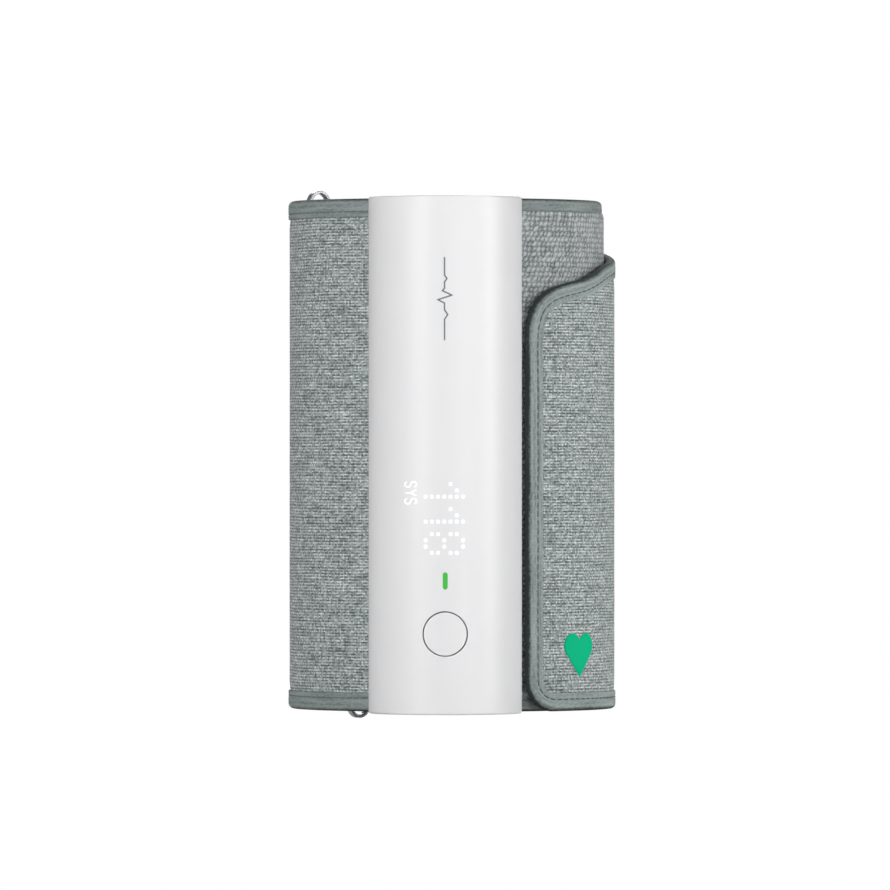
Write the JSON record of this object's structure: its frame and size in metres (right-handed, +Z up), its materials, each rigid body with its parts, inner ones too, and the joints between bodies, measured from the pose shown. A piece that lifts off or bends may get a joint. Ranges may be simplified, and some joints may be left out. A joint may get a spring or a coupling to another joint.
{
  "type": "upper-arm blood pressure cuff",
  "caption": "Fabric upper-arm blood pressure cuff with an upright white monitor tube on its front, a metal strap ring and a hook-and-loop strap end.",
  "frame": {"origin": "on the arm's axis at mid height of the band", "axes": "+Z up along the arm; the monitor tube's face looks along -Y; the strap end lies over the +X side"},
  "size_m": [0.0966, 0.131, 0.158],
  "materials": {
    "white_shell": "semi-gloss moulded plastic",
    "rear_plastic": "fine matt moulded plastic",
    "melange_fabric": "grey melange plain weave over padding",
    "loop_knit": "grey brushed loop knit",
    "edge_tape": "folded grey edge tape, stitched",
    "lining_fabric": "dark smooth lining",
    "hook_tape": "dark hook tape",
    "ring_metal": "polished plated steel strip",
    "mark_thread": "green sewn thread",
    "display_light": "lit white light dots",
    "status_green": "lit green light",
    "bladder_film": "welded soft film",
    "silicone": "soft hose",
    "circuit_board": "solder mask",
    "chip_black": "moulded package",
    "led_white": "light emitting chips",
    "dark_plastic": "moulded plastic",
    "steel": "plated steel",
    "cell_wrap": "wrapped steel can",
    "foam": "soft foam"
  },
  "bodies": {
    "cuff": {"air_bladder": "bladder_film", "air_manifold": "dark_plastic", "air_nipple": "bladder_film", "anchor_plate": "dark_plastic", "battery_cell": "cell_wrap", "board_chips": "chip_black", "board_screws": "steel", "case_screws": "steel", "charging_socket": "steel", "chassis": "dark_plastic", "cuff_binding_bottom": "edge_tape", "cuff_binding_top": "edge_tape", "cuff_fabric": "melange_fabric", "cuff_lining": "lining_fabric", "display_board": "circuit_board", "display_leds": "led_white", "display_lenses": "display_light", "end_cap_bottom": "white_shell", "end_cap_top": "white_shell", "flap_base_binding": "edge_tape", "flap_base_fabric": "melange_fabric", "flap_base_lining": "lining_fabric", "front_shell": "white_shell", "light_guide": "dark_plastic", "loop_patch": "loop_knit", "main_board": "circuit_board", "pressure_sensor": "chip_black", "pump_diaphragms": "bladder_film", "pump_head": "dark_plastic", "pump_hose": "silicone", "pump_motor": "steel", "pump_sleeve": "foam", "rear_shell": "rear_plastic", "ring_tab": "edge_tape", "sensor_hose": "silicone", "status_light": "status_green", "strap_fold": "melange_fabric", "tact_switch": "chip_black", "valve_body": "steel", "valve_spring": "steel"},
    "power_button": {"power_button": "white_shell"},
    "switch_plunger": {"switch_plunger": "dark_plastic"},
    "pump_rotor": {"pump_rotor": "steel"},
    "valve_plunger": {"valve_plunger": "steel"},
    "strap_ring": {"strap_ring": "ring_metal"},
    "flap_mid": {"flap_mid_fabric": "melange_fabric", "flap_mid_lining": "lining_fabric", "flap_mid_binding": "edge_tape"},
    "flap_tip": {"flap_tip_fabric": "melange_fabric", "flap_tip_lining": "lining_fabric", "flap_tip_binding": "edge_tape", "hook_patch": "hook_tape", "flap_mark": "mark_thread"}
  },
  "joints": [
    {"name": "button_press", "type": "slide", "parent": "cuff", "child": "power_button", "axis": [0, 1, 0], "range_m": [0, 0.0004], "stiffness_N_per_m": 1200, "springref_m": -0.0005},
    {"name": "switch_press", "type": "slide", "parent": "cuff", "child": "switch_plunger", "axis": [0, 1, 0], "range_m": [0, 0.0004]},
    {"name": "pump_spin", "type": "hinge", "parent": "cuff", "child": "pump_rotor", "pos_m": [0, -0.0625, 0.04], "axis": [0, 0, 1], "continuous": true},
    {"name": "valve_stroke", "type": "slide", "parent": "cuff", "child": "valve_plunger", "axis": [0, 0, 1], "range_m": [0, 0.0008], "stiffness_N_per_m": 60, "springref_m": -0.001, "deforming": ["valve_spring"]},
    {"name": "ring_swivel", "type": "hinge", "parent": "cuff", "child": "strap_ring", "pos_m": [-0.0347, 0.03301, -0.0004], "axis": [-0.079, -0.0711, 0.9943], "range_deg": [-3, 2]},
    {"name": "flap_mid_peel", "type": "hinge", "parent": "cuff", "child": "flap_mid", "pos_m": [0.01717, 0.04717, 0], "axis": [0, 0, 1], "range_deg": [0, 45]},
    {"name": "flap_tip_peel", "type": "hinge", "parent": "flap_mid", "child": "flap_tip", "pos_m": [0.04944, 0.00872, 0], "axis": [0, 0, 1], "range_deg": [0, 70]}
  ],
  "couplings": [
    {"joint": "switch_press", "follows": "button_press", "ratio": 1}
  ]
}
